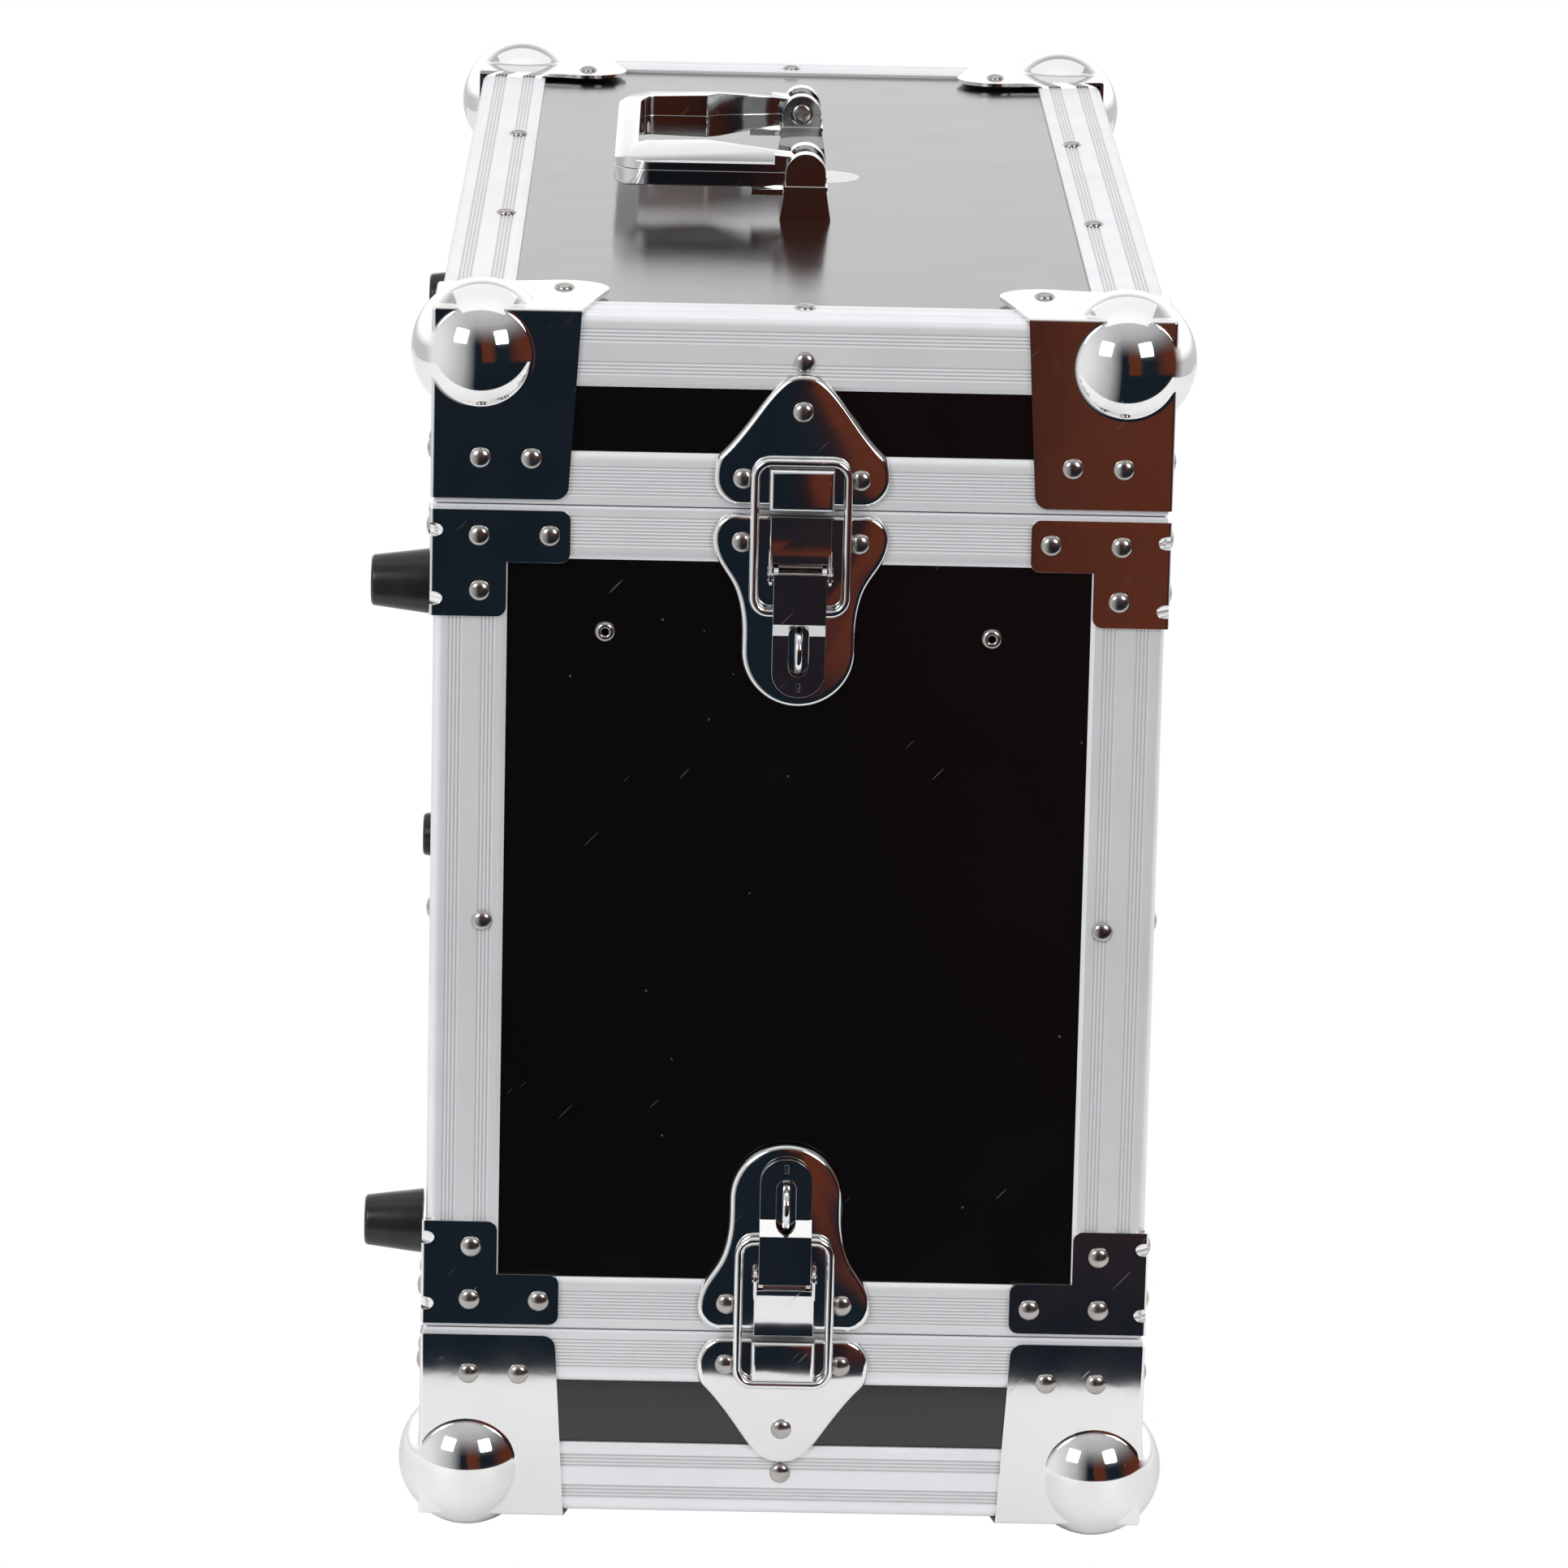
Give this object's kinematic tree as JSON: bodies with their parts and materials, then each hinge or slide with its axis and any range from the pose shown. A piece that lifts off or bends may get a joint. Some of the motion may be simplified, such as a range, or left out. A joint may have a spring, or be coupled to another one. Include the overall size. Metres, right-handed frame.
{
  "type": "rack case",
  "caption": "Compact transport case for rack equipment, standing on end, with two lift-off covers, draw latches, ball corners, rubber feet and a folding handle.",
  "frame": {"origin": "centre of the footprint, at the lowest points of the four ball corners that the case stands on", "axes": "+Z from the rear cover to the front cover, +Y along the width of the rack equipment, -X towards the rubber feet"},
  "size_m": [0.2446, 0.556, 0.3983],
  "materials": {
    "black_laminate": "satin black laminate on plywood",
    "aluminium_profile": "natural anodised with fine ribs",
    "chromed_steel": "bright chrome on pressed steel",
    "handle_chrome": "bright chrome on a zinc casting",
    "rivet_steel": "bright steel",
    "zinc_steel": "zinc plated",
    "black_rubber": "black moulded rubber"
  },
  "bodies": {
    "front_cover": {"front_cover_board": "black_laminate", "front_cover_walls": "black_laminate", "front_cover_edge_profiles": "aluminium_profile", "front_cover_rim": "aluminium_profile", "front_cover_rivets": "rivet_steel", "front_near_keeper": "chromed_steel", "front_near_left_ball_corner": "chromed_steel", "front_near_right_ball_corner": "chromed_steel", "front_far_keeper": "chromed_steel", "front_far_left_ball_corner": "chromed_steel", "front_far_right_ball_corner": "chromed_steel", "near_handle_bracket": "handle_chrome", "far_handle_bracket": "handle_chrome", "handle_pins": "rivet_steel", "bracket_bolts": "rivet_steel"},
    "rear_cover": {"rear_cover_board": "black_laminate", "rear_cover_walls": "black_laminate", "rear_cover_edge_profiles": "aluminium_profile", "rear_cover_rim": "aluminium_profile", "rear_cover_rivets": "rivet_steel", "rear_near_keeper": "chromed_steel", "rear_near_left_ball_corner": "chromed_steel", "rear_near_right_ball_corner": "chromed_steel", "rear_far_keeper": "chromed_steel", "rear_far_left_ball_corner": "chromed_steel", "rear_far_right_ball_corner": "chromed_steel"},
    "case": {"near_end_panel": "black_laminate", "far_end_panel": "black_laminate", "left_side_panel": "black_laminate", "right_side_panel": "black_laminate", "corner_profiles": "aluminium_profile", "case_front_rim": "aluminium_profile", "case_rear_rim": "aluminium_profile", "front_corner_braces": "chromed_steel", "rear_corner_braces": "chromed_steel", "near_rack_rail": "zinc_steel", "far_rack_rail": "zinc_steel", "rail_rivets": "rivet_steel", "case_rivets": "rivet_steel", "rubber_feet": "black_rubber", "foot_screws": "rivet_steel", "lever_pins": "rivet_steel", "padlock_staples": "chromed_steel", "front_near_latch_base": "chromed_steel", "front_far_latch_base": "chromed_steel", "rear_near_latch_base": "chromed_steel", "rear_far_latch_base": "chromed_steel"},
    "handle": {"handle_upper_shell": "handle_chrome", "handle_lower_shell": "handle_chrome"},
    "front_near_lever": {"front_near_lever": "chromed_steel"},
    "front_near_bail": {"front_near_bail": "chromed_steel"},
    "front_far_lever": {"front_far_lever": "chromed_steel"},
    "front_far_bail": {"front_far_bail": "chromed_steel"},
    "rear_near_lever": {"rear_near_lever": "chromed_steel"},
    "rear_near_bail": {"rear_near_bail": "chromed_steel"},
    "rear_far_lever": {"rear_far_lever": "chromed_steel"},
    "rear_far_bail": {"rear_far_bail": "chromed_steel"}
  },
  "joints": [
    {"name": "case_lift", "type": "slide", "parent": "rear_cover", "child": "case", "axis": [0, 0, 1], "range_m": [0, 0.09]},
    {"name": "front_cover_lift", "type": "slide", "parent": "case", "child": "front_cover", "axis": [0, 0, 1], "range_m": [0, 0.09]},
    {"name": "handle_fold", "type": "hinge", "parent": "front_cover", "child": "handle", "pos_m": [0.00715, 0, 0.3923], "axis": [0, 1, 0], "range_deg": [0, 90]},
    {"name": "front_near_lever_turn", "type": "hinge", "parent": "case", "child": "front_near_lever", "pos_m": [0.00555, -0.271, 0.3018], "axis": [-1, 0, 0], "range_deg": [0, 105]},
    {"name": "front_near_bail_turn", "type": "hinge", "parent": "front_near_lever", "child": "front_near_bail", "pos_m": [0.00555, -0.2696, 0.2905], "axis": [1, 0, 0], "range_deg": [0, 165]},
    {"name": "front_far_lever_turn", "type": "hinge", "parent": "case", "child": "front_far_lever", "pos_m": [0.00555, 0.271, 0.3018], "axis": [1, 0, 0], "range_deg": [0, 105]},
    {"name": "front_far_bail_turn", "type": "hinge", "parent": "front_far_lever", "child": "front_far_bail", "pos_m": [0.00555, 0.2696, 0.2905], "axis": [-1, 0, 0], "range_deg": [0, 165]},
    {"name": "rear_near_lever_turn", "type": "hinge", "parent": "case", "child": "rear_near_lever", "pos_m": [0.00555, -0.271, 0.0848], "axis": [1, 0, 0], "range_deg": [0, 105]},
    {"name": "rear_near_bail_turn", "type": "hinge", "parent": "rear_near_lever", "child": "rear_near_bail", "pos_m": [0.00555, -0.2696, 0.0961], "axis": [-1, 0, 0], "range_deg": [0, 165]},
    {"name": "rear_far_lever_turn", "type": "hinge", "parent": "case", "child": "rear_far_lever", "pos_m": [0.00555, 0.271, 0.0848], "axis": [-1, 0, 0], "range_deg": [0, 105]},
    {"name": "rear_far_bail_turn", "type": "hinge", "parent": "rear_far_lever", "child": "rear_far_bail", "pos_m": [0.00555, 0.2696, 0.0961], "axis": [1, 0, 0], "range_deg": [0, 165]}
  ],
  "couplings": [
    {"joint": "front_near_lever_turn", "follows": "front_cover_lift", "rad_per_m": 20.36},
    {"joint": "front_near_bail_turn", "follows": "front_cover_lift", "rad_per_m": 31.994},
    {"joint": "front_far_lever_turn", "follows": "front_cover_lift", "rad_per_m": 20.36},
    {"joint": "front_far_bail_turn", "follows": "front_cover_lift", "rad_per_m": 31.994},
    {"joint": "rear_near_lever_turn", "follows": "case_lift", "rad_per_m": 20.36},
    {"joint": "rear_near_bail_turn", "follows": "case_lift", "rad_per_m": 31.994},
    {"joint": "rear_far_lever_turn", "follows": "case_lift", "rad_per_m": 20.36},
    {"joint": "rear_far_bail_turn", "follows": "case_lift", "rad_per_m": 31.994}
  ]
}
